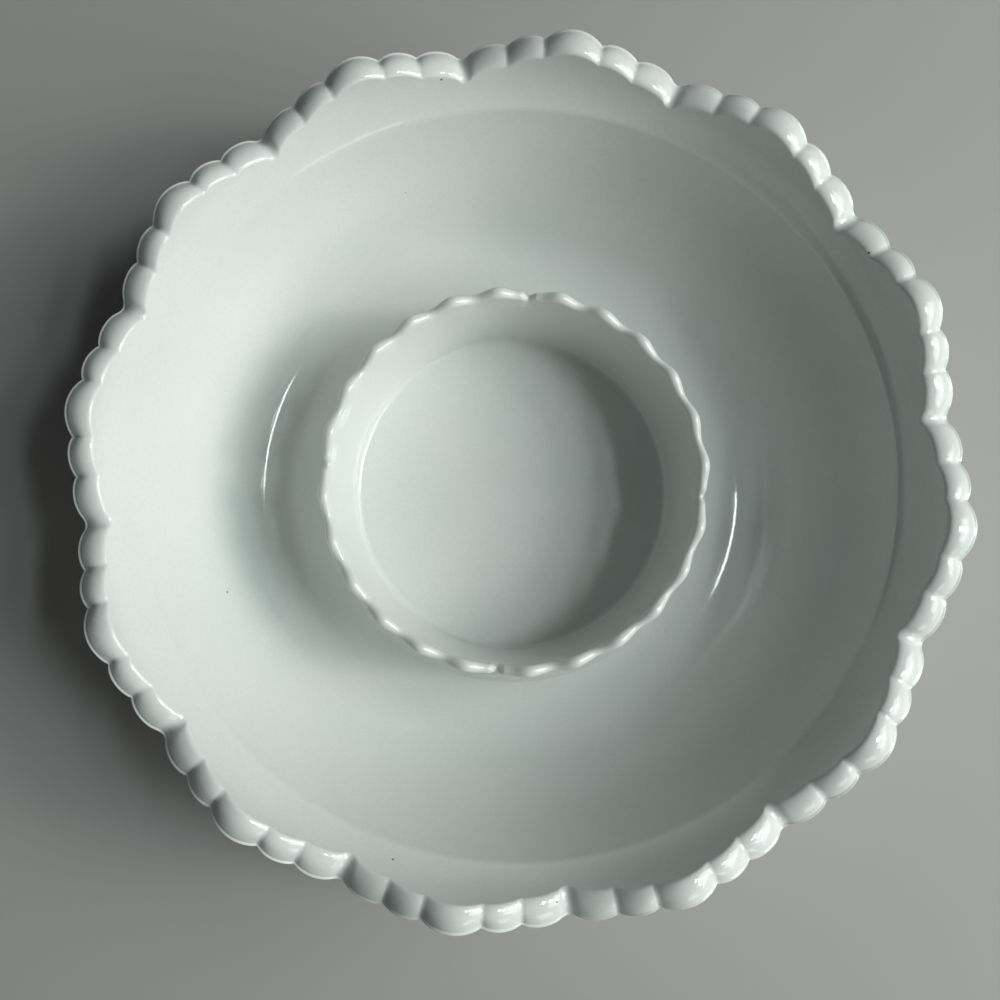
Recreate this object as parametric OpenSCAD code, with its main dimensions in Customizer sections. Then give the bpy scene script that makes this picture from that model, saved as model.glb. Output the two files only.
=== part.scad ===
// Scalloped white glass serving dish with a dip cup in the middle.
// Millimetres. +Z is up, the origin is the centre of the foot on the table,
// and +X points through the middle of one scallop's big lobe.
// The real dish is one pressing of opal glass. Its pieces below are the
// regions of that pressing, cut apart at its creases, and they meet face to face.

/* [Dish] */
// Widest diameter, across the tips of two opposite big lobes
plate_d = 300; // [270:1:330]
// Height of the big lobes' crests above the table
plate_h = 83; // [75:1:90]
// Thickness of the glass
glass_t = 4.3; // [3.5:0.1:5]

/* [Foot] */
// Width of the foot ring, which stands under the trough's deepest circle
foot_w = 8; // [5:0.5:10]
// Height of the foot ring
foot_h = 3.2; // [2:0.1:4.5]
// Slope of the foot ring's two sides, measured as a step inward at the table
foot_draft = 0.8; // [0.2:0.1:1.5]

/* [Trough] */
// Share of the trough's width, counted out from the cup, at which it is deepest
trough_low_share = 0.32; // [0.25:0.01:0.4]
// Radius of the rounded hollow where the trough's outer wall starts
trough_round_r = 16; // [12:0.5:20]
// Share of a straight wall's slope that the rounded hollow reaches
trough_bend_share = 0.85; // [0.75:0.01:0.95]

/* [Flared rim] */
// Width of the flared wall at a big lobe, seen from above
flare_w = 8.5; // [7.6:0.1:10]
// Height of the flared wall at a big lobe
flare_h = 21.3; // [19:0.1:23]
// How far the flared wall sags below a straight slope
flare_sag = 1.8; // [1:0.1:2.2]
// Height of plain wall left between the lobed edge's joint and the lowest saddle
edge_joint_gap = 1.4; // [1:0.1:2.5]

/* [Lobed edge] */
// Width of the edge at a big lobe, seen from above
edge_w = 9.9; // [9:0.1:11]
// Number of scallops round the edge
scallops = 12; // [8:1:16]
// Rise of a big lobe's crest over its grooves
big_lobe_rise = 2; // [1:0.1:2.5]
// Rise of a small lobe's crest over its grooves
small_lobe_rise = 1.3; // [0.6:0.05:1.8]
// How far the edge falls from the middle of a scallop to its ends
scallop_fall = 8.6; // [6:0.1:10]
// Extra depth of the saddle between two scallops
notch_dip = 1.6; // [0.6:0.1:2]
// How far a big lobe's tip stands out past its grooves
big_lobe_bulge = 2.2; // [1:0.1:3]
// How far a small lobe's tip stands out past its grooves
small_lobe_bulge = 1.3; // [0.6:0.1:2]
// How far the outline draws in from the middle of a scallop to its ends
scallop_sweep = 0.4; // [0.1:0.1:1]
// How far the saddle draws in past the ends of the scallops
notch_bite = 0.5; // [0.2:0.1:1]
// Drop from the crest to the outermost line of the edge
edge_drop = 1.6; // [1:0.1:2.2]
// Thickness of the lip at the outermost line
lip_t = 2.2; // [1.6:0.1:2.8]
// Thickness of the edge over the corner where its underside leaves the flared wall
edge_t = 4.4; // [4:0.1:5]
// Radius of the rounding at the crest
crest_round = 1.2; // [0.8:0.1:1.5]
// How far the top of a lobe bows up along its length
lobe_bow = 0.5; // [0.1:0.1:1]

/* [Dip cup] */
// Diameter of the cup at the outermost line of its rim
cup_rim_d = 142; // [136:0.5:148]
// Height of the rim's waves over the edge of the cup's floor
cup_h = 42.5; // [38:0.5:47]
// Width of the cup's side, from the edge of its floor to its rim's outermost line
cup_side_w = 8.9; // [8:0.1:10]
// How far the foot of the cup's outer face stands out past the rim
cup_foot_out = 4.2; // [3.5:0.1:6]
// Share of the height from the floor to the rim's joint at which that foot lies
cup_foot_share = 0.26; // [0.22:0.005:0.32]
// Thickness of the cup's wall under its rim
cup_top_t = 4.1; // [3.8:0.1:4.8]
// How far the cup's outer face hollows in from a straight lean
cup_sag = 1.2; // [0.6:0.1:1.5]
// How far the middle of the cup's floor lies below its edge
cup_floor_dish = 0.8; // [0.2:0.1:1.5]
// Width of the solid ring under the cup's wall
cup_base_w = 5.8; // [5:0.1:7]

/* [Cup rim] */
// Width of the rolled rim
bead_w = 4.4; // [3.5:0.1:5]
// Depth of the rolled rim
bead_deep = 4.2; // [3:0.1:4.5]
// Depth of the dips between two waves
wave_dip = 2.8; // [1.5:0.1:3.4]
// Depth of the larger dips that part the groups of waves
gap_dip = 5; // [3.6:0.1:6]
// Groups of waves round the rim
wave_groups = 4; // [2:1:6]
// Waves in one group
waves = 6; // [4:1:8]
// How much narrower the rolled rim gets for each unit that it dips
rim_thin_share = 0.3; // [0.1:0.01:0.4]
// Height of plain wall left between the rim's joint and its deepest dips
rim_joint_gap = 0.6; // [0.3:0.1:1.5]
// Angle from the middle of a big lobe to the nearest larger dip of the rim
rim_turn = 3; // [0:1:45]

/* [Hidden] */
glass_white = [0.9, 0.93, 0.92];
round_fn = 180;
arc_steps = 14;
short_arc_steps = 4;

// Shares of one scallop that its lobes take up
big_lobe_share = 0.253;
small_lobe_share = 0.168;
// How round a lobe is along the edge: zero is a shallow curve, one is a half circle
lobe_round_share = 0.7;
big_lobe_steps = 6;
small_lobe_steps = 4;
notch_steps = 3;
// Share of the scallop's fall and sweep that its cosine spans to each side
swing_share = 0.5;

// Points of the lobed edge's section: the crest's rounding in crest radii from the top of the
// wall, the slope in shares of its run, and the lip in lip thicknesses from the outermost line
crest_shares = [[0, -1], [0.45, -0.25], [1.3, 0]];
slope_shares = [0.3, 0.7];
slope_bow_share = 0.84;
lip_shares = [[-0.3, 0.1], [0, -0.3], [-0.4, -1]];

// Share of one group that its waves take up, the rest being the larger dip
wave_run_share = 0.942;
wave_steps = 6;
gap_steps = 4;
bead_points = 8;
// Where the rolled rim starts and ends, in shares of a full turn counted from due outward
bead_ends_share = [0.556, -0.139];

// Radii, from the outline in
plate_r = plate_d / 2;
crest_r = plate_r - edge_w;
crease_r = crest_r - flare_w;
cup_rim_r = cup_rim_d / 2;
cup_floor_r = cup_rim_r - cup_side_w;
cup_foot_r = cup_rim_r + cup_foot_out;
trough_r = cup_foot_r + (crease_r - cup_foot_r) * trough_low_share;
foot_in = trough_r - foot_w / 2;
foot_out = trough_r + foot_w / 2;

// Heights, from the table up and from the crests down
floor_h = foot_h + glass_t;
cup_rim_h = floor_h + cup_h;
cup_joint_h = cup_rim_h - gap_dip - bead_deep - rim_joint_gap;
cup_foot_h = floor_h + (cup_joint_h - floor_h) * cup_foot_share;
crest_h = plate_h - crest_round;
crease_h = crest_h - flare_h;
saddle_h = plate_h - big_lobe_rise - scallop_fall - notch_dip;
edge_joint_h = saddle_h - crest_round - edge_joint_gap;

// Points along an arc about a centre, from one angle to another
function arc(centre, rad, from, to, steps) =
    [for (i = [0:steps])
        let (a = from + (to - from) * i / steps)
        centre + rad * [cos(a), sin(a)]];

// The same with angles counted from straight down, outward positive
function low_arc(centre, rad, from, to, steps) =
    [for (i = [0:steps])
        let (a = from + (to - from) * i / steps)
        centre + rad * [sin(a), -cos(a)]];

// Direction of a point seen from a centre
function heading(centre, p) = atan2(p[1] - centre[1], p[0] - centre[0]);

// The same direction, counted from straight down
function low_heading(centre, p) = atan2(p[0] - centre[0], centre[1] - p[1]);

// Radius of the arc that leaves the trough's bottom level and passes a point
function dish_radius(run, rise) = (run * run + rise * rise) / (2 * rise);

// Angle, counted from straight down, at which a circle reaches a distance sideways
function side_angle(run, rad) = asin(run / rad);

// The lower of the two points where two circles meet
function circles_meet(c1, r1, c2, r2) =
    let (d = norm(c2 - c1),
         u = (c2 - c1) / d,
         along = (d * d + r1 * r1 - r2 * r2) / (2 * d),
         across = sqrt(r1 * r1 - along * along),
         p = c1 + u * along + across * [-u[1], u[0]],
         q = c1 + u * along - across * [-u[1], u[0]])
    p[1] < q[1] ? p : q;

// Trough, inner half: a hollow arc from its bottom in to the cup's wall
in_rad = dish_radius(trough_r - cup_foot_r, cup_foot_h - floor_h);
in_centre = [trough_r, floor_h + in_rad];
in_slope = side_angle(trough_r - cup_foot_r, in_rad);

// Trough, outer half: a rounded hollow, which a wall with a slower sweep carries on to the crease
crease = [crease_r, crease_h];
round_centre = [trough_r, floor_h + trough_round_r];
straight_slope = heading(round_centre, crease) + asin(trough_round_r / norm(crease - round_centre));
bend = straight_slope * trough_bend_share;
bend_point = round_centre + trough_round_r * [sin(bend), -cos(bend)];
wall_tilt = heading(bend_point, crease);
wall_rad = norm(crease - bend_point) / (2 * sin(wall_tilt - bend));
wall_centre = bend_point + wall_rad * [-sin(bend), cos(bend)];
wall_end = 2 * wall_tilt - bend;

// Flared wall: a hollow arc from the crease up to the big lobes' crests
crest = [crest_r, crest_h];
flare_chord = norm(crest - crease);
flare_rad = (flare_chord * flare_chord / 4 + flare_sag * flare_sag) / (2 * flare_sag);
flare_dir = (crest - crease) / flare_chord;
flare_centre = (crease + crest) / 2 + (flare_rad - flare_sag) * [-flare_dir[1], flare_dir[0]];

// Radius of the flared wall at a height, on the face of a given radius about its centre
function flare_r(rad, h) =
    flare_centre[0] + sqrt(rad * rad - (flare_centre[1] - h) * (flare_centre[1] - h));
function wall_r(h) = flare_r(flare_rad, h);

// Angles about the flared wall's centre: at the crease, and where the lobed edge begins
crease_turn = heading(flare_centre, crease);
edge_joint_turn = heading(flare_centre, [wall_r(edge_joint_h), edge_joint_h]);

// Crease on the glass's underside, where the two outer arcs meet
under_crease = circles_meet(wall_centre, wall_rad + glass_t, flare_centre, flare_rad + glass_t);
under_wall_end = low_heading(wall_centre, under_crease);

// Underside arcs over the foot ring, shared by the trough and the foot ring
under_in_foot = low_arc(in_centre, in_rad + glass_t,
    -side_angle(trough_r - foot_in, in_rad + glass_t), 0, short_arc_steps);
under_foot_turn = side_angle(foot_out - trough_r, trough_round_r + glass_t);
under_out_foot = low_arc(round_centre, trough_round_r + glass_t, 0, under_foot_turn, short_arc_steps);

// Cup's wall: inner face from the floor's edge up to the rim
cup_inner_top = [cup_rim_r - bead_w, cup_rim_h - bead_deep / 2];
cup_inner_lean = (cup_inner_top[0] - cup_floor_r) / (cup_inner_top[1] - floor_h);
joint_in = [cup_floor_r + (cup_joint_h - floor_h) * cup_inner_lean, cup_joint_h];

// Cup's wall: outer face, a hollow arc from its foot up to the joint under the rim
joint_out = joint_in + [cup_top_t, 0];
cup_foot = [cup_foot_r, cup_foot_h];
cup_chord = norm(joint_out - cup_foot);
cup_rad = (cup_chord * cup_chord / 4 + cup_sag * cup_sag) / (2 * cup_sag);
cup_dir = (joint_out - cup_foot) / cup_chord;
cup_centre = (joint_out + cup_foot) / 2 + (cup_rad - cup_sag) * [cup_dir[1], -cup_dir[0]];

// Rounded hump: one in the middle of a lobe, zero at its two grooves
function hump(t) =
    (sqrt(1 - lobe_round_share * lobe_round_share * t * t) - sqrt(1 - lobe_round_share * lobe_round_share))
    / (1 - sqrt(1 - lobe_round_share * lobe_round_share));

// One scallop's columns: [angle share, big hump, small hump, saddle]
small_at_share = big_lobe_share / 2 + small_lobe_share / 2;
notch_half_share = 0.5 - big_lobe_share / 2 - 2 * small_lobe_share;
function lobe_columns(at, half, steps, big) =
    [for (i = [0:steps - 1])
        let (t = 2 * i / steps - 1)
        [at + half * t, big ? hump(t) : 0, big ? 0 : hump(t), 0]];
scallop_columns = concat(
    lobe_columns(-small_at_share - small_lobe_share, small_lobe_share / 2, small_lobe_steps, false),
    lobe_columns(-small_at_share, small_lobe_share / 2, small_lobe_steps, false),
    lobe_columns(0, big_lobe_share / 2, big_lobe_steps, true),
    lobe_columns(small_at_share, small_lobe_share / 2, small_lobe_steps, false),
    lobe_columns(small_at_share + small_lobe_share, small_lobe_share / 2, small_lobe_steps, false),
    [for (i = [0:notch_steps - 1])
        let (t = 2 * i / notch_steps - 1)
        [0.5 + notch_half_share * t, 0, 0, 1 - t * t]]);

// Height of the crest and radius of the outline in one column
function crest_height(c) =
    plate_h - big_lobe_rise - scallop_fall * swing_share * (1 - cos(360 * c[0]))
    + big_lobe_rise * c[1] + small_lobe_rise * c[2] - notch_dip * c[3];
function outline_radius(c) =
    plate_r - big_lobe_bulge - scallop_sweep * swing_share * (1 - cos(360 * c[0]))
    + big_lobe_bulge * c[1] + small_lobe_bulge * c[2] - notch_bite * c[3];

// Section of the lobed edge in one column, from the joint's inner corner round to its outer one
function edge_section(c) =
    let (top = crest_height(c),
         wall_h = top - crest_round,
         wall_top = [wall_r(wall_h), wall_h],
         wall_mid_h = (edge_joint_h + wall_h) / 2,
         crown = [for (s = crest_shares) wall_top + crest_round * (s + [0, 1])],
         rim = [outline_radius(c), top - edge_drop],
         lip = [for (s = lip_shares) rim + lip_t * s],
         joint_a = flare_centre + flare_rad * [cos(edge_joint_turn), sin(edge_joint_turn)],
         joint_b = flare_centre
             + (flare_rad + glass_t) * [cos(edge_joint_turn), sin(edge_joint_turn)],
         corner_h = top - edge_t)
    concat(
        [joint_a, [wall_r(wall_mid_h), wall_mid_h]],
        crown,
        [for (s = slope_shares) crown[2] + (lip[0] - crown[2]) * s + [0, lobe_bow * slope_bow_share]],
        lip,
        [[flare_r(flare_rad + glass_t, corner_h), corner_h], joint_b]);

// Smooth swell: one in the middle and zero, with a level start, at both ends
function swell(t) = 0.5 + 0.5 * cos(180 * t);

// One group of the cup rim's columns: [angle share, dip]
wave_share = wave_run_share / waves;
gap_half_share = (1 - wave_run_share) / 2;
function wave_columns(i) =
    [for (k = [0:wave_steps - 1])
        let (t = 2 * k / wave_steps - 1)
        [(i - (waves - 1) / 2) * wave_share + wave_share / 2 * t, wave_dip * (1 - swell(t))]];
group_columns = concat(
    [for (i = [0:waves - 1]) each wave_columns(i)],
    [for (k = [0:gap_steps - 1])
        let (t = 2 * k / gap_steps - 1)
        [0.5 + gap_half_share * t, wave_dip + (gap_dip - wave_dip) * swell(t)]]);

// Section of the cup's rim in one column: up the inner face, over the rolled bead, down the outer face
function rim_section(c) =
    let (drop = c[1],
         half_w = (bead_w - drop * rim_thin_share) / 2,
         mid = [cup_rim_r - bead_w + half_w, cup_rim_h - drop - bead_deep / 2])
    concat(
        [joint_in],
        [for (k = [0:bead_points - 1])
            let (a = 360 * (bead_ends_share * [1 - k / (bead_points - 1), k / (bead_points - 1)]))
            mid + [half_w * cos(a), bead_deep / 2 * sin(a)]],
        [joint_out]);

// Ring-shaped solid from columns of section points, each column [angle, points]
module swept_ring(columns) {
    n = len(columns);
    m = len(columns[0][1]);
    points = [for (col = columns) for (p = col[1])
        [p[0] * cos(col[0]), p[0] * sin(col[0]), p[1]]];
    faces = [for (i = [0:n - 1]) for (j = [0:m - 1])
        let (a = i * m + j,
             b = i * m + (j + 1) % m,
             c = ((i + 1) % n) * m + (j + 1) % m,
             d = ((i + 1) % n) * m + j)
        each [[a, c, b], [a, d, c]]];
    polyhedron(points = points, faces = faces, convexity = 6);
}

// Ring that the plate stands on
module foot_ring() {
    color(glass_white)
        rotate_extrude($fn = round_fn)
            polygon(concat(
                [[foot_in + foot_draft, 0], [foot_out - foot_draft, 0]],
                [for (i = [short_arc_steps:-1:0]) under_out_foot[i]],
                [for (i = [short_arc_steps - 1:-1:0]) under_in_foot[i]]));
}

// Shallow dished floor of the dip cup
module cup_floor() {
    dish_rad = dish_radius(cup_floor_r, cup_floor_dish);
    dish_centre = [0, floor_h - cup_floor_dish + dish_rad];
    color(glass_white)
        rotate_extrude($fn = round_fn)
            polygon(concat(
                [[0, foot_h], [cup_floor_r, foot_h]],
                low_arc(dish_centre, dish_rad, side_angle(cup_floor_r, dish_rad), 0, short_arc_steps)));
}

// Leaning wall of the dip cup, from its base ring up to the joint under the rim
module cup_wall() {
    under_foot_h = in_centre[1] - sqrt(pow(in_rad + glass_t, 2) - pow(trough_r - cup_foot_r, 2));
    color(glass_white)
        rotate_extrude($fn = round_fn)
            polygon(concat(
                [[cup_floor_r, foot_h],
                 [cup_floor_r + cup_base_w, foot_h],
                 [cup_foot_r, under_foot_h]],
                low_arc(cup_centre, cup_rad,
                    low_heading(cup_centre, cup_foot), low_heading(cup_centre, joint_out), short_arc_steps),
                [joint_in, [cup_floor_r, floor_h]]));
}

// Rolled, waved rim of the dip cup
module cup_rim() {
    color(glass_white)
        swept_ring([for (g = [0:wave_groups - 1]) for (c = group_columns)
            [rim_turn + (g + 0.5 + c[0]) * 360 / wave_groups, rim_section(c)]]);
}

// Ring-shaped trough round the cup
module trough() {
    color(glass_white)
        rotate_extrude($fn = round_fn)
            polygon(concat(
                low_arc(in_centre, in_rad + glass_t,
                    -side_angle(trough_r - cup_foot_r, in_rad + glass_t),
                    -side_angle(trough_r - foot_in, in_rad + glass_t), arc_steps),
                [for (i = [1:short_arc_steps]) under_in_foot[i]],
                [for (i = [1:short_arc_steps]) under_out_foot[i]],
                [for (i = [1:arc_steps])
                    low_arc(round_centre, trough_round_r + glass_t, under_foot_turn, bend, arc_steps)[i]],
                [for (i = [1:arc_steps])
                    low_arc(wall_centre, wall_rad + glass_t, bend, under_wall_end, arc_steps)[i]],
                low_arc(wall_centre, wall_rad, wall_end, bend, arc_steps),
                [for (i = [1:arc_steps]) low_arc(round_centre, trough_round_r, bend, 0, arc_steps)[i]],
                [for (i = [1:arc_steps]) low_arc(in_centre, in_rad, 0, -in_slope, arc_steps)[i]]));
}

// Flared wall from the crease up to the lobed edge
module flared_rim() {
    color(glass_white)
        rotate_extrude($fn = round_fn)
            polygon(concat(
                arc(flare_centre, flare_rad + glass_t,
                    heading(flare_centre, under_crease), edge_joint_turn, short_arc_steps),
                arc(flare_centre, flare_rad, edge_joint_turn, crease_turn, short_arc_steps)));
}

// Edge of lobes, in scallops parted by saddles
module lobed_edge() {
    color(glass_white)
        swept_ring([for (s = [0:scallops - 1]) for (c = scallop_columns)
            [(s + c[0]) * 360 / scallops, edge_section(c)]]);
}

foot_ring();
cup_floor();
cup_wall();
cup_rim();
trough();
flared_rim();
lobed_edge();
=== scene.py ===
"""Looks of the scalloped glass dish with a dip cup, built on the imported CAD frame.

The dish is one pressing of white opal glass. Every piece below repeats one region of the part from the
same named sizes (millimetres here, metres in the mesh), with the roundings that pressed glass has.
"""

import bpy
import numpy as np
from mathutils import Matrix


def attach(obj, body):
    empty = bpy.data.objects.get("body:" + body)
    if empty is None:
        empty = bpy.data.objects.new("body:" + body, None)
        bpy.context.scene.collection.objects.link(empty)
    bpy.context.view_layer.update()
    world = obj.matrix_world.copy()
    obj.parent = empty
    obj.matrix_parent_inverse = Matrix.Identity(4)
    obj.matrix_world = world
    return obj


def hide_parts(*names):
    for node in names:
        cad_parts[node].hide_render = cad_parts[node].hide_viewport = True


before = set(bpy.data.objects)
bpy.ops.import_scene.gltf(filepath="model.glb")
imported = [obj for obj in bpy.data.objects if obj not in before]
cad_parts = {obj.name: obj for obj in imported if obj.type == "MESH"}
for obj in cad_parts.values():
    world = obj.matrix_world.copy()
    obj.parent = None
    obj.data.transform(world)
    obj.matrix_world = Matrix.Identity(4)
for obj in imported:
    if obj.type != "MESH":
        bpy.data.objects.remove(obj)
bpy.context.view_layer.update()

MM = 0.001

# Sizes that the part's source sets, in its own names and order
plate_d = 300.0
plate_h = 83.0
glass_t = 4.3
foot_w = 8.0
foot_h = 3.2
foot_draft = 0.8
trough_low_share = 0.32
trough_round_r = 16.0
trough_bend_share = 0.85
flare_w = 8.5
flare_h = 21.3
flare_sag = 1.8
edge_joint_gap = 1.4
edge_w = 9.9
scallops = 12
big_lobe_rise = 2.0
small_lobe_rise = 1.3
scallop_fall = 8.6
notch_dip = 1.6
big_lobe_bulge = 2.2
small_lobe_bulge = 1.3
scallop_sweep = 0.4
notch_bite = 0.5
edge_t = 4.4
crest_round = 1.2
lobe_bow = 0.5
cup_rim_d = 142.0
cup_h = 42.5
cup_side_w = 8.9
cup_foot_out = 4.2
cup_foot_share = 0.26
cup_top_t = 4.1
cup_sag = 1.2
cup_floor_dish = 0.8
cup_base_w = 5.8
bead_w = 4.4
bead_deep = 4.2
wave_dip = 2.8
gap_dip = 5.0
wave_groups = 4
waves = 6
rim_thin_share = 0.3
rim_joint_gap = 0.6
rim_turn = 3.0
big_lobe_share = 0.253
small_lobe_share = 0.168
lobe_round_share = 0.7
wave_run_share = 0.942

# Roundings that only the looks have: how far the glass is cut back on each side of a corner
floor_corner = 2.2
crease_corner = 1.3
under_crease_corner = 2.0
base_corner = 1.2
foot_corner = 0.9

# The lobes' soft inner crown, their round outer side and the thin fin along the mould's parting line,
# all measured down from the top of the lobe or in from the outline
crown_deep = 1.4
crown_w = 1.8
side_w = 2.4
shoulder_drop = 1.2
side_deep = 2.2
fin_deep = 2.6
fin_t = 0.45
fin_out = 0.3
fin_w = 1.0
lip_deep = 4.0

# How the fin and the lip bend, as shares of fin_w, and how softly the edge's lower corner turns
fin_root_share = 0.4
lip_bend_share = 1.2
low_corner_out_share = 0.25
low_corner_in_share = 0.35

# The flat spots at the axis, where a round face closes the cup's floor: a turn above, a radius below
floor_middle_turn = 0.004
under_middle_r = 0.2

# Where the rolled bead ends on its outer side, as a share of a turn
bead_end_share = -0.139

# Derived radii and heights, as in the part's source
plate_r = plate_d / 2
crest_r = plate_r - edge_w
crease_r = crest_r - flare_w
cup_rim_r = cup_rim_d / 2
cup_floor_r = cup_rim_r - cup_side_w
cup_foot_r = cup_rim_r + cup_foot_out
trough_r = cup_foot_r + (crease_r - cup_foot_r) * trough_low_share
foot_in = trough_r - foot_w / 2
foot_out = trough_r + foot_w / 2
floor_h = foot_h + glass_t
cup_rim_h = floor_h + cup_h
cup_joint_h = cup_rim_h - gap_dip - bead_deep - rim_joint_gap
cup_foot_h = floor_h + (cup_joint_h - floor_h) * cup_foot_share
crest_h = plate_h - crest_round
crease_h = crest_h - flare_h
saddle_h = plate_h - big_lobe_rise - scallop_fall - notch_dip
edge_joint_h = saddle_h - crest_round - edge_joint_gap

DOWN = -np.pi / 2
TURN = 2 * np.pi
ROUND_COLUMNS = 720
BIG_LOBE_COLUMNS = 20
SMALL_LOBE_COLUMNS = 14
SADDLE_COLUMNS = 8
WAVE_COLUMNS = 12
GAP_COLUMNS = 8
BEAD_ROWS = 26


# Plane geometry of the section, in points (radius, height)
def pt(x, y):
    return np.array([x, y], float)


def heading(centre, p):
    return np.arctan2(p[1] - centre[1], p[0] - centre[0])


def arc(centre, rad, start, end, count):
    a = np.linspace(start, end, count)
    return np.stack([centre[0] + rad * np.cos(a), centre[1] + rad * np.sin(a)], -1)


def line(p, q, count):
    t = np.linspace(0, 1, count)[:, None]
    return p * (1 - t) + q * t


def dish_radius(run, rise):
    return (run * run + rise * rise) / (2 * rise)


def sagged(p, q, sag, side):
    """Centre and radius of the arc from p to q that sags from its chord, centre on the given side."""
    chord = np.hypot(*(q - p))
    rad = (chord * chord / 4 + sag * sag) / (2 * sag)
    along = (q - p) / chord
    return (p + q) / 2 + (rad - sag) * side * pt(-along[1], along[0]), rad


def circles_meet(c1, r1, c2, r2):
    """The lower of the two points where two circles meet."""
    d = np.hypot(*(c2 - c1))
    u = (c2 - c1) / d
    along = (d * d + r1 * r1 - r2 * r2) / (2 * d)
    across = np.sqrt(r1 * r1 - along * along) * pt(-u[1], u[0])
    p = c1 + u * along + across
    q = c1 + u * along - across
    return p if p[1] < q[1] else q


def cut_back(run, length):
    s = np.r_[0, np.cumsum(np.hypot(*np.diff(run, axis=0).T))]
    end = s[-1] - length
    last = [np.interp(end, s, run[:, 0]), np.interp(end, s, run[:, 1])]
    return np.vstack([run[s < end - 1e-6], [last]])


def rounded(a, b, back):
    """Two runs of section points whose shared corner is now a smooth turn, split at its middle."""
    a2 = cut_back(a, back)
    b2 = cut_back(b[::-1], back)[::-1]
    corner = (a[-1] + b[0]) / 2
    t = np.linspace(0, 1, 11)[:, None]
    bend = a2[-1] * (1 - t) ** 2 + 2 * corner * t * (1 - t) + b2[0] * t ** 2
    return np.vstack([a2, bend[1:6]]), np.vstack([bend[5:-1], b2])


def with_normals(*runs):
    """Each run with its normals, which are shared where runs follow on and point out of the glass."""
    points = [runs[0]]
    spans = [(0, len(runs[0]))]
    for run in runs[1:]:
        start = spans[-1][1] - 1
        points.append(run[1:])
        spans.append((start, start + len(run)))
    p = np.vstack(points)
    way = np.gradient(p, axis=0)
    way /= np.hypot(way[:, 0], way[:, 1])[:, None]
    normals = np.stack([-way[:, 1], way[:, 0]], -1)
    return [(p[a:b], normals[a:b]) for a, b in spans]


def chained(*parts):
    """Runs with normals, one after the other, as one run."""
    p = np.vstack([parts[0][0]] + [q[0][1:] for q in parts[1:]])
    n = np.vstack([parts[0][1]] + [q[1][1:] for q in parts[1:]])
    return p, n


# The trough's arcs, its crease and the flared wall above it
in_rad = dish_radius(trough_r - cup_foot_r, cup_foot_h - floor_h)
in_centre = pt(trough_r, floor_h + in_rad)
in_slope = np.arcsin((trough_r - cup_foot_r) / in_rad)
crease = pt(crease_r, crease_h)
round_centre = pt(trough_r, floor_h + trough_round_r)
to_crease = np.hypot(*(crease - round_centre))
straight_slope = heading(round_centre, crease) + np.arcsin(trough_round_r / to_crease)
bend = straight_slope * trough_bend_share
bend_point = round_centre + trough_round_r * pt(np.sin(bend), -np.cos(bend))
wall_tilt = heading(bend_point, crease)
wall_rad = np.hypot(*(crease - bend_point)) / (2 * np.sin(wall_tilt - bend))
wall_centre = bend_point + wall_rad * pt(-np.sin(bend), np.cos(bend))
wall_end = 2 * wall_tilt - bend
flare_centre, flare_rad = sagged(crease, pt(crest_r, crest_h), flare_sag, 1)
under_crease = circles_meet(wall_centre, wall_rad + glass_t, flare_centre, flare_rad + glass_t)


def flare_r(rad, h):
    """Radius of the flared wall at a height, on the face of a given radius about its centre."""
    return flare_centre[0] + np.sqrt(rad * rad - (flare_centre[1] - h) ** 2)


crease_turn = heading(flare_centre, crease)
edge_joint_turn = heading(flare_centre, pt(flare_r(flare_rad, edge_joint_h), edge_joint_h))

# The cup's two faces
cup_inner_top = pt(cup_rim_r - bead_w, cup_rim_h - bead_deep / 2)
inner_lean = (cup_inner_top[0] - cup_floor_r) / (cup_inner_top[1] - floor_h)
joint_in = pt(cup_floor_r + (cup_joint_h - floor_h) * inner_lean, cup_joint_h)
joint_out = joint_in + pt(cup_top_t, 0)
cup_foot = pt(cup_foot_r, cup_foot_h)
cup_centre, cup_rad = sagged(cup_foot, joint_out, cup_sag, -1)


# Runs of the section, each from the axis outward on top and back inward below
floor_rad = dish_radius(cup_floor_r, cup_floor_dish)
floor_centre = pt(0, floor_h - cup_floor_dish + floor_rad)
floor_edge_turn = np.arcsin(cup_floor_r / floor_rad)
floor_run = arc(floor_centre, floor_rad, DOWN + floor_middle_turn, DOWN + floor_edge_turn, 40)
inner_run = line(pt(cup_floor_r, floor_h), joint_in, 30)
floor_run, inner_run = rounded(floor_run, inner_run, floor_corner)
cup_face_start = heading(cup_centre, joint_out) % TURN
cup_face_end = heading(cup_centre, cup_foot) % TURN
cup_face_run = arc(cup_centre, cup_rad, cup_face_start, cup_face_end, 30)
trough_in_run = arc(in_centre, in_rad, DOWN - in_slope, DOWN, 30)
round_run = arc(round_centre, trough_round_r, DOWN, DOWN + bend, 24)
wall_run = arc(wall_centre, wall_rad, DOWN + bend, DOWN + wall_end, 40)
flare_run = arc(flare_centre, flare_rad, crease_turn, edge_joint_turn, 16)
wall_run, flare_run = rounded(wall_run, flare_run, crease_corner)

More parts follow.
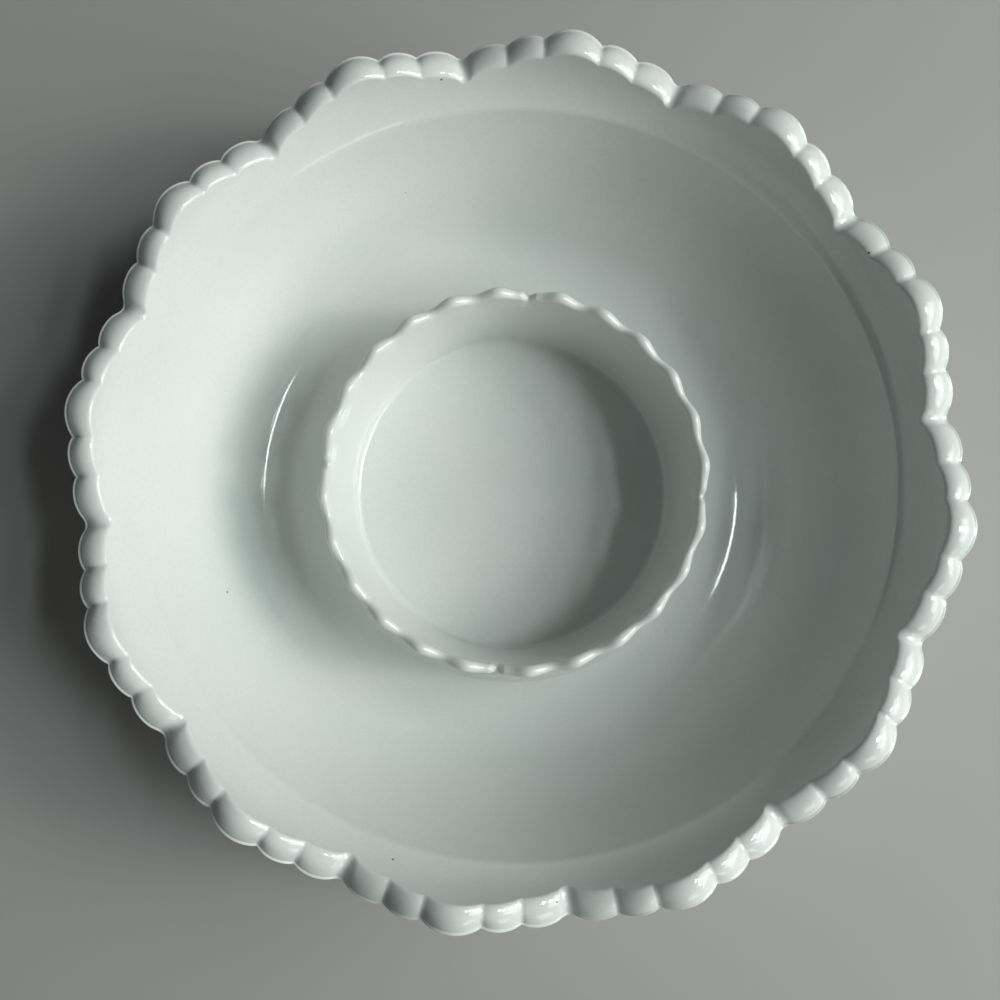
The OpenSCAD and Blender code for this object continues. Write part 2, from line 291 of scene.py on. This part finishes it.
under_flare = arc(flare_centre, flare_rad + glass_t, edge_joint_turn, heading(flare_centre, under_crease), 16)
under_wall = arc(wall_centre, wall_rad + glass_t, heading(wall_centre, under_crease), DOWN + bend, 40)
under_flare, under_wall = rounded(under_flare, under_wall, under_crease_corner)
foot_turn_out = np.arcsin((foot_out - trough_r) / (trough_round_r + glass_t))
foot_turn_in = np.arcsin((trough_r - foot_in) / (in_rad + glass_t))
under_round = arc(round_centre, trough_round_r + glass_t, DOWN + bend, DOWN + foot_turn_out, 20)
over_foot_out = arc(round_centre, trough_round_r + glass_t, DOWN + foot_turn_out, DOWN, 8)
over_foot_in = arc(in_centre, in_rad + glass_t, DOWN, DOWN - foot_turn_in, 8)
under_in = arc(in_centre, in_rad + glass_t, DOWN - foot_turn_in, DOWN - in_slope, 20)
base_out = pt(cup_floor_r + cup_base_w, foot_h)
base_in = pt(cup_floor_r, foot_h)
under_cup = line(under_in[-1], base_out, 10)
under_base = line(base_out, base_in, 8)
under_cup, under_base = rounded(under_cup, under_base, base_corner)
under_floor = line(base_in, pt(under_middle_r, foot_h), 12)

floor_top, cup_inside = with_normals(floor_run, inner_run)
cup_outside, trough_in, trough_round, trough_wall, flare_top = with_normals(
    cup_face_run, trough_in_run, round_run, wall_run, flare_run)
flare_under, wall_under, round_under = with_normals(under_flare, under_wall, under_round)
in_under, cup_under, base_under, floor_under = with_normals(under_in, under_cup, under_base, under_floor)


class Shell:
    """A ring-shaped closed mesh: smooth strips all round the axis, joined by flat hidden faces."""

    def __init__(self, name, angles):
        self.name = name
        self.angles = angles
        self.points = []
        self.faces = []
        self.normals = []
        self.caps = []
        self.count = 0

    def strip(self, section, normals=None):
        """Adds rows x columns of points (radius, height), with the glass on the right of their way."""
        rows, cols = section.shape[:2]
        ca = np.cos(self.angles)
        sa = np.sin(self.angles)
        xyz = np.stack([section[..., 0] * ca, section[..., 0] * sa, section[..., 1]], -1) * MM
        if normals is None:
            around = np.roll(xyz, -1, axis=1) - np.roll(xyz, 1, axis=1)
            normals = np.cross(np.gradient(xyz, axis=0), around)
        else:
            normals = np.stack([normals[..., 0] * ca, normals[..., 0] * sa, normals[..., 1]], -1)
        normals = normals / np.linalg.norm(normals, axis=-1, keepdims=True)
        i = np.arange(rows - 1)[:, None] * cols
        j = np.arange(cols)[None]
        k = (j + 1) % cols
        quads = np.stack([i + cols + j, i + cols + k, i + k, i + j], -1).reshape(-1, 4)
        first = self.count
        self.points.append(xyz.reshape(-1, 3))
        self.faces.append(quads + first)
        self.normals.append(normals.reshape(-1, 3)[quads])
        self.count += rows * cols
        return first, first + (rows - 1) * cols

    def revolved(self, run):
        """Adds a run with normals, turned about the axis."""
        cols = len(self.angles)
        return self.strip(np.repeat(run[0][:, None], cols, axis=1), np.repeat(run[1][:, None], cols, axis=1))

    def bridge(self, row_a, row_b):
        """Flat ring of faces from one row of points to another."""
        j = np.arange(len(self.angles))
        k = (j + 1) % len(self.angles)
        quads = np.stack([row_b + j, row_b + k, row_a + k, row_a + j], -1)
        p = np.vstack(self.points)[quads]
        flat = np.cross(p[:, 1] - p[:, 0], p[:, 3] - p[:, 0])
        flat /= np.maximum(np.linalg.norm(flat, axis=1, keepdims=True), 1e-15)
        self.faces.append(quads)
        self.normals.append(np.repeat(flat[:, None], 4, axis=1))

    def cap(self, row, up):
        """Closes a small ring at the axis with one round face."""
        self.caps.append((list(range(row, row + len(self.angles))), up))

    def build(self):
        faces = np.vstack(self.faces).tolist()
        normals = np.concatenate(self.normals).reshape(-1, 3).tolist()
        for ring, up in self.caps:
            faces.append(ring if up else ring[::-1])
            normals += [(0.0, 0.0, 1.0 if up else -1.0)] * len(ring)
        mesh = bpy.data.meshes.new(self.name)
        mesh.from_pydata(np.vstack(self.points).tolist(), [], faces)
        mesh.polygons.foreach_set("use_smooth", [True] * len(faces))
        mesh.update()
        mesh.normals_split_custom_set(normals)
        piece = bpy.data.objects.new(self.name, mesh)
        bpy.context.scene.collection.objects.link(piece)
        return piece


def round_shell(name):
    return Shell(name, np.linspace(0, TURN, ROUND_COLUMNS, endpoint=False))


def cup_floor():
    s = round_shell("cup_floor_glass")
    top = s.revolved(floor_top)
    under = s.revolved(floor_under)
    s.cap(top[0], True)
    s.cap(under[1], False)
    s.bridge(top[1], under[0])
    return s.build()


def cup_wall():
    s = round_shell("cup_wall_glass")
    inside = s.revolved(cup_inside)
    outside = s.revolved(cup_outside)
    under = s.revolved(chained(cup_under, base_under))
    s.bridge(inside[1], outside[0])
    s.bridge(outside[1], under[0])
    s.bridge(under[1], inside[0])
    return s.build()


def trough():
    s = round_shell("trough_glass")
    top = s.revolved(chained(trough_in, trough_round, trough_wall))
    outer = s.revolved(chained(wall_under, round_under))
    over_foot = s.revolved(chained(*with_normals(over_foot_out, over_foot_in)))
    inner = s.revolved(in_under)
    s.bridge(top[1], outer[0])
    s.bridge(outer[1], over_foot[0])
    s.bridge(over_foot[1], inner[0])
    s.bridge(inner[1], top[0])
    return s.build()


def flared_rim():
    s = round_shell("flared_rim_glass")
    top = s.revolved(flare_top)
    under = s.revolved(flare_under)
    s.bridge(top[1], under[0])
    s.bridge(under[1], top[0])
    return s.build()


def foot_ring():
    s = round_shell("foot_ring_glass")
    low_out = pt(foot_out - foot_draft, 0)
    low_in = pt(foot_in + foot_draft, 0)
    side_out = line(under_round[-1], low_out, 8)
    base = line(low_out, low_in, 8)
    side_in = line(low_in, under_in[0], 8)
    side_out, base = rounded(side_out, base, foot_corner)
    base, side_in = rounded(base, side_in, foot_corner)
    low = s.revolved(chained(*with_normals(side_out, base, side_in)))
    top = s.revolved(chained(*with_normals(over_foot_in[::-1], over_foot_out[::-1])))
    s.bridge(low[1], top[0])
    s.bridge(top[1], low[0])
    return s.build()


# The lobed edge's columns round one scallop, from the groove after a saddle to the next one
def hump(t):
    low = np.sqrt(1 - lobe_round_share ** 2)
    return (np.sqrt(1 - lobe_round_share ** 2 * t * t) - low) / (1 - low)


def lobe_columns(at, half, steps, kind):
    """Columns (share of the scallop, big hump, small hump, saddle) over one lobe or saddle."""
    t = 2 * np.arange(steps) / steps - 1
    none = np.zeros(steps)
    shapes = {
        "big": (hump(t), none, none),
        "small": (none, hump(t), none),
        "saddle": (none, none, 1 - t * t),
    }
    return np.stack([at + half * t, *shapes[kind]], -1)


def scallop_columns():
    small_half = small_lobe_share / 2
    small_at = big_lobe_share / 2 + small_half
    saddle_half = 0.5 - big_lobe_share / 2 - 2 * small_lobe_share
    return np.vstack([
        lobe_columns(-small_at - small_lobe_share, small_half, SMALL_LOBE_COLUMNS, "small"),
        lobe_columns(-small_at, small_half, SMALL_LOBE_COLUMNS, "small"),
        lobe_columns(0.0, big_lobe_share / 2, BIG_LOBE_COLUMNS, "big"),
        lobe_columns(small_at, small_half, SMALL_LOBE_COLUMNS, "small"),
        lobe_columns(small_at + small_lobe_share, small_half, SMALL_LOBE_COLUMNS, "small"),
        lobe_columns(0.5, saddle_half, SADDLE_COLUMNS, "saddle"),
    ])


def curve(a, corner, b, count):
    """Rows of points after a, along a smooth turn from a to b."""
    t = np.linspace(0, 1, count + 1)[1:, None, None]
    return a * (1 - t) ** 2 + 2 * corner * t * (1 - t) + b * t ** 2


def slope(a, b, count, bow=0.0):
    """Rows of points after a, along a line to b that bows up by a height."""
    t = np.linspace(0, 1, count + 1)[1:, None, None]
    rows = a * (1 - t) + b * t
    rows[..., 1] += bow * 4 * (t * (1 - t))[..., 0]
    return rows


def tangents_meet(a, way_a, b, way_b):
    """Where the line through a along its way meets the line through b along its own."""
    gap = b - a
    share = (gap[..., 0] * way_b[..., 1] - gap[..., 1] * way_b[..., 0]) / (
        way_a[..., 0] * way_b[..., 1] - way_a[..., 1] * way_b[..., 0])
    return a + way_a * share[..., None]


def plain_end(shell, row, run_normal, cols):
    """Gives one end row of a shell's first strip the normals of the plain region that it meets."""
    ca = np.cos(shell.angles)
    sa = np.sin(shell.angles)
    n = np.stack([run_normal[0] * ca, run_normal[0] * sa, np.full(cols, run_normal[1])], -1)
    corners = shell.normals[0].reshape(-1, cols, 4, 3)
    if row == 0:
        corners[0, :, 3] = n
        corners[0, :, 2] = np.roll(n, -1, axis=0)
    else:
        corners[-1, :, 0] = n
        corners[-1, :, 1] = np.roll(n, -1, axis=0)


def lobed_edge():
    share, big, small, saddle = scallop_columns().T
    swing = 0.5 * (1 - np.cos(TURN * share))
    top = plate_h - big_lobe_rise * (1 - big) - scallop_fall * swing
    top = top + small_lobe_rise * small - notch_dip * saddle
    out = plate_r - big_lobe_bulge * (1 - big) - scallop_sweep * swing
    out = out + small_lobe_bulge * small - notch_bite * saddle
    angles = np.concatenate([(k + share) * TURN / scallops for k in range(scallops)])
    top = np.tile(top, scallops)
    out = np.tile(out, scallops)

    def at(r, h):
        return np.stack([np.broadcast_to(r, top.shape), np.broadcast_to(h, top.shape)], -1)

    # Up the flare, over the soft crown and the lobe's top, round its outer side to the fin, and back under
    wall_h = edge_joint_h + (top - crown_deep - edge_joint_h) * np.linspace(0, 1, 9)[:, None]
    wall = np.stack([flare_r(flare_rad, wall_h), wall_h], -1)
    inner = flare_r(flare_rad, top)
    crown = at(inner + crown_w, top)
    shoulder = at(out - side_w, top - shoulder_drop)
    side = at(out - fin_w, top - side_deep)
    fin_h = top - fin_deep
    run = (shoulder - crown)[..., 0]
    crown_corner = tangents_meet(wall[-1], wall[-1] - wall[-2], crown, at(run, 4 * lobe_bow - shoulder_drop))
    side_corner = tangents_meet(shoulder, at(run, -4 * lobe_bow - shoulder_drop), side, at(0, -1))
    fin_root = out - fin_root_share * fin_w
    fin_top = at(fin_root, fin_h)
    fin_tip = at(out + fin_out, fin_h - fin_t / 2)
    fin_low = at(fin_root, fin_h - fin_t)
    lip_side = at(out - fin_w, fin_h - 2 * fin_t)
    lip_bend = at(out - lip_bend_share * fin_w, top - lip_deep)
    lip_low = at(out - side_w, top - lip_deep)
    under_h = top - edge_t
    corner = at(flare_r(flare_rad + glass_t, under_h), under_h)
    joint = at(*(flare_centre + (flare_rad + glass_t) * pt(np.cos(edge_joint_turn), np.sin(edge_joint_turn))))
    corner_out = corner + (lip_low - corner) * low_corner_out_share
    corner_in = corner + (joint - corner) * low_corner_in_share
    section = np.concatenate([
        wall,
        curve(wall[-1], crown_corner, crown, 12),
        slope(crown, shoulder, 11, lobe_bow),
        curve(shoulder, side_corner, side, 8),
        curve(side, at(out - fin_w, fin_h), fin_top, 6),
        curve(fin_top, at(out + fin_out, fin_h), fin_tip, 4),
        curve(fin_tip, at(out + fin_out, fin_h - fin_t), fin_low, 4),
        curve(fin_low, at(out - fin_w, fin_h - fin_t), lip_side, 5),
        curve(lip_side, lip_bend, lip_low, 5),
        slope(lip_low, corner_out, 5),
        curve(corner_out, corner, corner_in, 6),
        slope(corner_in, joint, 4),
    ])
    s = Shell("lobed_edge_glass", angles)
    ring = s.strip(section)
    plain_end(s, 0, (-np.cos(edge_joint_turn), -np.sin(edge_joint_turn)), len(angles))
    plain_end(s, -1, (np.cos(edge_joint_turn), np.sin(edge_joint_turn)), len(angles))
    s.bridge(ring[1], ring[0])
    return s.build()


# The cup's rim: a rolled bead in groups of waves, each column (share of the group, dip)
def swell(t):
    return 0.5 + 0.5 * np.cos(np.pi * t)


def group_columns():
    wave_share = wave_run_share / waves
    t = 2 * np.arange(WAVE_COLUMNS) / WAVE_COLUMNS - 1
    columns = [
        np.stack([(i - (waves - 1) / 2) * wave_share + wave_share / 2 * t, wave_dip * (1 - swell(t))], -1)
        for i in range(waves)]
    t = 2 * np.arange(GAP_COLUMNS) / GAP_COLUMNS - 1
    gap_half = (1 - wave_run_share) / 2
    columns.append(np.stack([0.5 + gap_half * t, wave_dip + (gap_dip - wave_dip) * swell(t)], -1))
    return np.vstack(columns)


def cup_rim():
    share, dip = group_columns().T
    angles = np.concatenate([(g + 0.5 + share) * TURN / wave_groups for g in range(wave_groups)])
    angles = angles + np.radians(rim_turn)
    dip = np.tile(dip, wave_groups)
    half_w = (bead_w - dip * rim_thin_share) / 2
    mid_r = cup_rim_r - bead_w + half_w
    mid_h = cup_rim_h - dip - bead_deep / 2
    a = np.linspace(TURN * 0.5, TURN * bead_end_share, BEAD_ROWS)[:, None]
    bead = np.stack([mid_r + half_w * np.cos(a), mid_h + bead_deep / 2 * np.sin(a)], -1)
    inside = np.broadcast_to(joint_in, bead[0].shape)
    outside = np.broadcast_to(joint_out, bead[0].shape)
    section = np.concatenate([inside[None], slope(inside, bead[0], 7), bead[1:], slope(bead[-1], outside, 7)])
    s = Shell("cup_rim_glass", angles)
    ring = s.strip(section)
    plain_end(s, 0, cup_inside[1][-1], len(angles))
    plain_end(s, -1, cup_outside[1][0], len(angles))
    s.bridge(ring[1], ring[0])
    return s.build()


pieces = {
    "foot_ring": foot_ring(),
    "cup_floor": cup_floor(),
    "cup_wall": cup_wall(),
    "cup_rim": cup_rim(),
    "trough": trough(),
    "flared_rim": flared_rim(),
    "lobed_edge": lobed_edge(),
}


# Material: opaque white pressed glass. Its colour is cloudy and grained, with a few dark specks, and its
# fire-polished gloss has slow waves and a fine orange peel. Noise scales count per metre, and depths of
# the bumps are in metres.
glass_ior = 1.52
cloud_scale = 13.0
cloud_dim = (0.72, 0.775, 0.745)
cloud_pale = (0.78, 0.815, 0.79)
grain_scale = 900.0
grain_dim = (0.93, 0.93, 0.93)
grain_share = 0.6
speck_scale = 42.0
speck_size = 0.016
speck_colour = (0.10, 0.10, 0.08)
sheen_scale = 60.0
gloss_sharp = 0.05
gloss_soft = 0.13
swell_scale = 30.0
swell_depth = 0.0008
swell_strength = 0.15
peel_scale = 420.0
peel_depth = 0.00012
peel_strength = 0.12
WHITE = (1.0, 1.0, 1.0)


def opal_glass():
    material = bpy.data.materials.new("opal_glass_white")
    material.use_nodes = True
    nodes = material.node_tree.nodes
    link = material.node_tree.links.new
    nodes.clear()
    out = nodes.new("ShaderNodeOutputMaterial")
    glass = nodes.new("ShaderNodeBsdfPrincipled")
    glass.inputs["IOR"].default_value = glass_ior
    place = nodes.new("ShaderNodeTexCoord")

    def noise(scale, detail):
        node = nodes.new("ShaderNodeTexNoise")
        node.inputs["Scale"].default_value = scale
        node.inputs["Detail"].default_value = detail
        link(place.outputs["Object"], node.inputs["Vector"])
        return node.outputs["Fac"]

    def ramp(value, stops):
        node = nodes.new("ShaderNodeValToRGB")
        for element, (position, colour) in zip(node.color_ramp.elements, stops):
            element.position = position
            element.color = (*colour, 1)
        link(value, node.inputs["Fac"])
        return node.outputs["Color"]

    def mixed(kind, share, a, b):
        node = nodes.new("ShaderNodeMix")
        node.data_type = "RGBA"
        node.blend_type = kind
        if isinstance(share, float):
            node.inputs["Factor"].default_value = share
        else:
            link(share, node.inputs["Factor"])
        link(a, node.inputs["A"])
        if isinstance(b, tuple):
            node.inputs["B"].default_value = (*b, 1)
        else:
            link(b, node.inputs["B"])
        return node.outputs["Result"]

    def bumped(height, strength, depth, onto=None):
        node = nodes.new("ShaderNodeBump")
        node.inputs["Strength"].default_value = strength
        node.inputs["Distance"].default_value = depth
        link(height, node.inputs["Height"])
        if onto:
            link(onto, node.inputs["Normal"])
        return node.outputs["Normal"]

    cloud = ramp(noise(cloud_scale, 3.0), [(0.32, cloud_dim), (0.68, cloud_pale)])
    grain = ramp(noise(grain_scale, 2.0), [(0.3, grain_dim), (0.7, WHITE)])
    body = mixed("MULTIPLY", grain_share, cloud, grain)

    cells = nodes.new("ShaderNodeTexVoronoi")
    cells.inputs["Scale"].default_value = speck_scale
    link(place.outputs["Object"], cells.inputs["Vector"])
    speck = nodes.new("ShaderNodeMath")
    speck.operation = "LESS_THAN"
    speck.inputs[1].default_value = speck_size
    link(cells.outputs["Distance"], speck.inputs[0])
    link(mixed("MIX", speck.outputs["Value"], body, speck_colour), glass.inputs["Base Color"])

    sheen = nodes.new("ShaderNodeMapRange")
    sheen.inputs["To Min"].default_value = gloss_sharp
    sheen.inputs["To Max"].default_value = gloss_soft
    link(noise(sheen_scale, 4.0), sheen.inputs["Value"])
    link(sheen.outputs["Result"], glass.inputs["Roughness"])

    waves_bump = bumped(noise(swell_scale, 1.0), swell_strength, swell_depth)
    peel_bump = bumped(noise(peel_scale, 2.0), peel_strength, peel_depth, waves_bump)
    link(peel_bump, glass.inputs["Normal"])
    link(glass.outputs["BSDF"], out.inputs["Surface"])
    return material


glass_material = opal_glass()
for node, piece in pieces.items():
    piece.data.materials.append(glass_material)
    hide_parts(node)
    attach(piece, "root")

# Camera, as in the photograph: nearly straight above the dish
focal_px = 950.0
photo_px = 1000.0
tilt_x = np.radians(-4.179)
tilt_y = np.radians(-1.115)
spin = np.radians(6.93 - 15.0)
shift_px = (-22.1, 28.1)
dish_in_view = np.array([13.55, 14.02, -390.21])
sensor_mm = 36.0
nearest_m = 0.01
farthest_m = 20.0


def turn_about(axis, angle):
    return np.array(Matrix.Rotation(angle, 3, axis))


def add_camera():
    view = turn_about("X", tilt_x) @ turn_about("Y", tilt_y) @ turn_about("Z", spin)
    data = bpy.data.cameras.new("camera")
    data.sensor_width = sensor_mm
    data.lens = focal_px * data.sensor_width / photo_px
    data.shift_x = -shift_px[0] / photo_px
    data.shift_y = shift_px[1] / photo_px
    data.clip_start = nearest_m
    data.clip_end = farthest_m
    camera = bpy.data.objects.new("camera", data)
    bpy.context.scene.collection.objects.link(camera)
    world = np.eye(4)
    world[:3, :3] = view.T
    world[:3, 3] = -view.T @ dish_in_view * MM
    camera.matrix_world = Matrix(world.tolist())
    bpy.context.scene.camera = camera


add_camera()


# Floor
floor_m = 6.0
floor_colour = (0.41, 0.41, 0.395, 1)
floor_roughness = 0.7


def add_floor():
    bpy.ops.mesh.primitive_plane_add(size=floor_m, location=(0, 0, 0))
    floor = bpy.context.object
    floor.name = "floor"
    material = bpy.data.materials.new("pale_floor")
    material.use_nodes = True
    paint = material.node_tree.nodes["Principled BSDF"]
    paint.inputs["Base Color"].default_value = floor_colour
    paint.inputs["Roughness"].default_value = floor_roughness
    floor.data.materials.append(material)


add_floor()

# Light: soft boxes round the dish, all aimed at its middle
mid_dish = np.array([0, 0, 0.05])


def from_photo(azimuth, elevation, distance):
    """A point seen from the dish, its azimuth counted from the photograph's right."""
    a = np.radians(azimuth) - spin
    e = np.radians(elevation)
    return mid_dish + distance * np.array([np.cos(e) * np.cos(a), np.cos(e) * np.sin(a), np.sin(e)])


def soft_box(name, azimuth, elevation, distance, width, height, power, colour):
    """A soft box as wide and high as the given angles, seen from the dish."""
    data = bpy.data.lights.new(name, "AREA")
    data.shape = "RECTANGLE"
    data.size = 2 * distance * np.tan(np.radians(width / 2))
    data.size_y = 2 * distance * np.tan(np.radians(height / 2))
    data.energy = power
    data.color = colour
    box = bpy.data.objects.new(name, data)
    bpy.context.scene.collection.objects.link(box)
    at = from_photo(azimuth, elevation, distance)
    back = (at - mid_dish) / distance
    side = np.cross([0, 0, 1], back)
    side /= np.linalg.norm(side)
    place = np.eye(4)
    place[:3, 0] = side
    place[:3, 1] = np.cross(back, side)
    place[:3, 2] = back
    place[:3, 3] = at
    box.matrix_world = Matrix(place.tolist())


# Each with its azimuth and elevation in degrees, distance in metres, width and height in degrees, power in
# watts and colour
soft_box("window", -5, 36, 1.6, 46, 26, 14.5, (0.97, 1.0, 1.0))
soft_box("window_sill", -5, 19, 3.0, 60, 12, 13.0, (0.98, 0.99, 1.0))
soft_box("side_window", -60, 20, 3.0, 20, 18, 7.0, (0.97, 1.0, 0.92))
soft_box("low_lamp", -2, 28, 3.0, 7, 8, 9.0, (1.0, 0.84, 0.74))
soft_box("key_lamp", -2, 36, 3.0, 7, 8, 9.0, (1.0, 0.98, 0.94))
soft_box("top_strip", -2, 50, 3.0, 14, 4, 8.0, (0.90, 0.98, 1.0))
soft_box("high_strip", -2, 58, 3.0, 14, 4, 12.0, (0.90, 1.0, 0.98))

# World: a dim room, whose pale wall shows only behind the dish and in its reflections
room_light = 0.02
wall_light = 0.28
room_colour = (0.93, 0.97, 1.0, 1)


def add_world():
    world = bpy.data.worlds.new("world")
    bpy.context.scene.world = world
    world.use_nodes = True
    nodes = world.node_tree.nodes
    link = world.node_tree.links.new
    sky = nodes["Background"]
    sky.inputs["Color"].default_value = room_colour
    path = nodes.new("ShaderNodeLightPath")
    mirrored = nodes.new("ShaderNodeMath")
    mirrored.operation = "MAXIMUM"
    seen = nodes.new("ShaderNodeMath")
    seen.operation = "MAXIMUM"
    strength = nodes.new("ShaderNodeMapRange")
    strength.inputs["To Min"].default_value = room_light
    strength.inputs["To Max"].default_value = wall_light
    link(path.outputs["Is Glossy Ray"], mirrored.inputs[0])
    link(path.outputs["Is Transmission Ray"], mirrored.inputs[1])
    link(path.outputs["Is Camera Ray"], seen.inputs[0])
    link(mirrored.outputs["Value"], seen.inputs[1])
    link(seen.outputs["Value"], strength.inputs["Value"])
    link(strength.outputs["Result"], sky.inputs["Strength"])


add_world()

bpy.context.scene.view_settings.view_transform = "Standard"
